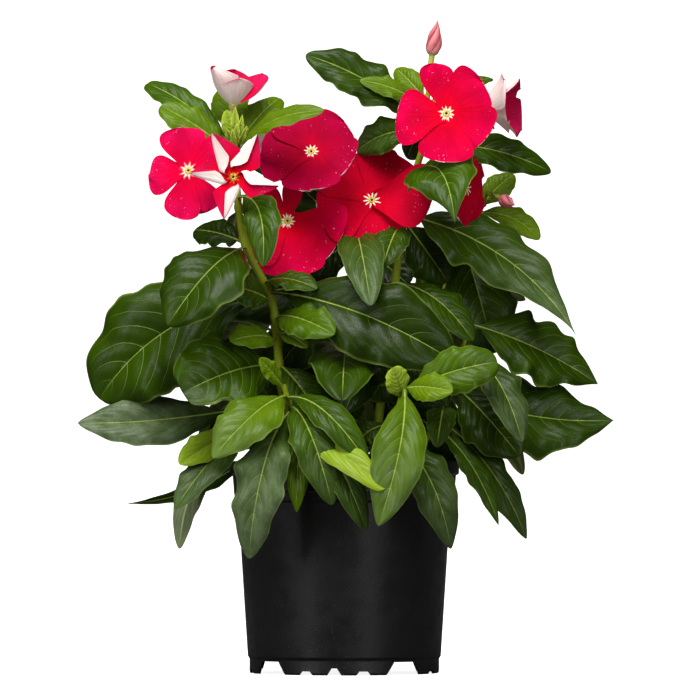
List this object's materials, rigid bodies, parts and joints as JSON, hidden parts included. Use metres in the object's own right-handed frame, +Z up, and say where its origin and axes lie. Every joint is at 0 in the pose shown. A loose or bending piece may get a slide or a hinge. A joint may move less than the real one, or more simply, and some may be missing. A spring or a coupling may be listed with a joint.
{
  "type": "potted madagascar periwinkle",
  "caption": "Bushy periwinkle with glossy dark green leaves and flat scarlet and crimson flowers, standing in a black plastic nursery pot.",
  "frame": {"origin": "on the ground, under the middle of the pot and of the whole plant's outline", "axes": "+Z up along the pot's axis, -Y towards the viewer of the picture, +X to the viewer's right"},
  "size_m": [0.2771, 0.2026, 0.339],
  "materials": {
    "black_plastic": "satin",
    "potting_mix": "matte",
    "leaf_green": "gloss",
    "scarlet": "satin",
    "crimson": "satin",
    "dark_red": "satin",
    "blush": "satin"
  },
  "bodies": {
    "root": {"pot": "black_plastic", "potting_mix": "potting_mix", "left_shoot": "leaf_green", "right_shoot": "leaf_green", "far_right_shoot": "leaf_green", "middle_shoot": "leaf_green", "left_low_shoot": "leaf_green", "front_left_shoot": "leaf_green", "front_right_shoot": "leaf_green", "right_low_shoot": "leaf_green", "back_left_shoot": "leaf_green", "back_shoot": "leaf_green", "back_right_shoot": "leaf_green", "flower_left": "scarlet", "flower_pinwheel": "crimson", "flower_middle": "crimson", "flower_dark": "dark_red", "flower_low": "scarlet", "flower_right": "scarlet", "flower_side": "dark_red", "flower_half_open_right": "blush", "flower_half_open_left": "blush", "flower_behind": "crimson", "flower_back": "scarlet", "flower_back_left": "crimson", "bud_top": "blush", "bud_right": "blush"}
  },
  "joints": []
}
